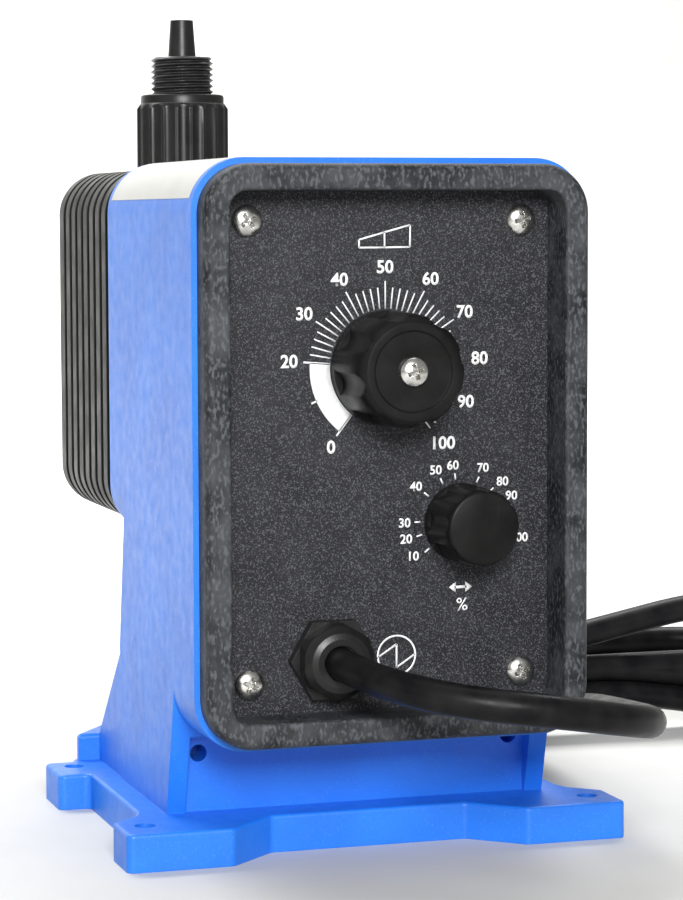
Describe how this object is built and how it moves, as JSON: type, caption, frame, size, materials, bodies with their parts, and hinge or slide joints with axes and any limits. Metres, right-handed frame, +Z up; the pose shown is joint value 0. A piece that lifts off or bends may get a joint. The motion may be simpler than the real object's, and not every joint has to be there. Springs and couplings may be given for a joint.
{
  "type": "diaphragm metering pump",
  "caption": "Solenoid diaphragm dosing pump on a flanged pedestal, with stroke and rate dials in front and a valved liquid end behind.",
  "frame": {"origin": "middle of the four base mounting holes, on the surface the pump stands on", "axes": "+Z up, -Y towards the operator facing the control panel, +Y towards the liquid end, +X to the operator's right"},
  "size_m": [0.3285, 0.3514, 0.2841],
  "materials": {
    "blue_housing": "satin moulded blue thermoplastic with a fine grain",
    "bezel_rubber": "matt mottled black",
    "seal_rubber": "matt",
    "panel_black": "near black with fine pale speckle and white print",
    "screw_steel": "bright zinc or nickel",
    "black_nylon": "satin",
    "brass_bush": "machined",
    "machined_steel": "turned",
    "knob_plastic": "satin black",
    "pot_metal": "stamped",
    "board_laminate": "solder mask",
    "capacitor_sleeve": "shrunk sleeve",
    "heat_sink": "extruded",
    "terminal_plastic": "moulded",
    "solenoid_plastic": "satin black, paler on the fin edges",
    "bobbin_plastic": "moulded",
    "copper_winding": "enamelled copper wire",
    "spring_steel": "drawn wire",
    "diaphragm_ptfe": "smooth",
    "head_plastic": "satin black",
    "cartridge_plastic": "satin black",
    "ceramic_ball": "polished ceramic",
    "cord_jacket": "soft satin black jacket",
    "plug_vinyl": "moulded vinyl"
  },
  "bodies": {
    "pump_frame": {"drive_housing": "blue_housing", "panel_bezel": "bezel_rubber", "panel_gasket": "seal_rubber", "control_panel": "panel_black", "panel_screws": "screw_steel", "gland_body": "black_nylon", "gland_seal": "seal_rubber", "gland_nut": "black_nylon", "gland_locknut": "black_nylon", "adjuster_bushing": "brass_bush", "adjuster_nut": "screw_steel", "rate_potentiometer": "pot_metal", "pot_nut": "screw_steel", "circuit_board": "board_laminate", "board_standoffs": "screw_steel", "board_screws": "screw_steel", "board_capacitors": "capacitor_sleeve", "board_triac": "heat_sink", "terminal_block": "terminal_plastic", "solenoid_gasket": "seal_rubber", "solenoid_housing": "solenoid_plastic", "solenoid_screws": "screw_steel", "yoke": "machined_steel", "guide_tube": "brass_bush", "coil_bobbin": "bobbin_plastic", "solenoid_coil": "copper_winding", "pole_piece": "machined_steel", "shaft_bushings": "brass_bush", "return_spring": "spring_steel", "head_adapter": "black_nylon", "diaphragm": "diaphragm_ptfe", "pump_head": "head_plastic", "port_seals": "seal_rubber", "head_washers": "screw_steel", "head_screws": "screw_steel", "discharge_valve_body": "cartridge_plastic", "discharge_nozzle": "cartridge_plastic", "discharge_seat": "diaphragm_ptfe", "discharge_guide": "cartridge_plastic", "suction_valve_body": "cartridge_plastic", "suction_nozzle": "cartridge_plastic", "suction_seat": "diaphragm_ptfe", "suction_guide": "cartridge_plastic", "power_cord": "cord_jacket", "cord_tail": "cord_jacket", "cord_hank": "cord_jacket", "power_plug": "plug_vinyl", "plug_blades": "brass_bush"},
    "stroke_control": {"stroke_knob": "knob_plastic", "stroke_knob_screw": "screw_steel", "adjuster_spindle": "machined_steel"},
    "stroke_stop": {"stroke_stop": "machined_steel"},
    "rate_control": {"rate_knob": "knob_plastic", "pot_shaft": "machined_steel"},
    "armature": {"armature": "machined_steel", "armature_shaft": "machined_steel", "diaphragm_insert": "machined_steel"},
    "suction_ball": {"suction_ball": "ceramic_ball"},
    "discharge_ball": {"discharge_ball": "ceramic_ball"}
  },
  "joints": [
    {"name": "stroke_adjust", "type": "hinge", "parent": "pump_frame", "child": "stroke_control", "pos_m": [0, -0.08475, 0.158], "axis": [0, 1, 0], "range_deg": [-142.5, 142.5]},
    {"name": "stop_travel", "type": "slide", "parent": "pump_frame", "child": "stroke_stop", "axis": [0, 1, 0], "range_m": [-0.0006, 0.0006]},
    {"name": "rate_adjust", "type": "hinge", "parent": "pump_frame", "child": "rate_control", "pos_m": [0.0255, -0.08475, 0.1078], "axis": [0, 1, 0], "range_deg": [-150, 120]},
    {"name": "armature_stroke", "type": "slide", "parent": "pump_frame", "child": "armature", "axis": [0, 1, 0], "range_m": [0, 0.00119], "stiffness_N_per_m": 6000, "springref_m": -0.002, "deforming": ["return_spring", "diaphragm"]},
    {"name": "suction_ball_lift", "type": "slide", "parent": "pump_frame", "child": "suction_ball", "axis": [0, 0, 1], "range_m": [0, 0.0015]},
    {"name": "discharge_ball_lift", "type": "slide", "parent": "pump_frame", "child": "discharge_ball", "axis": [0, 0, 1], "range_m": [0, 0.0015]}
  ],
  "couplings": [
    {"joint": "stop_travel", "follows": "stroke_adjust", "m_per_rad": -0.00023873}
  ]
}
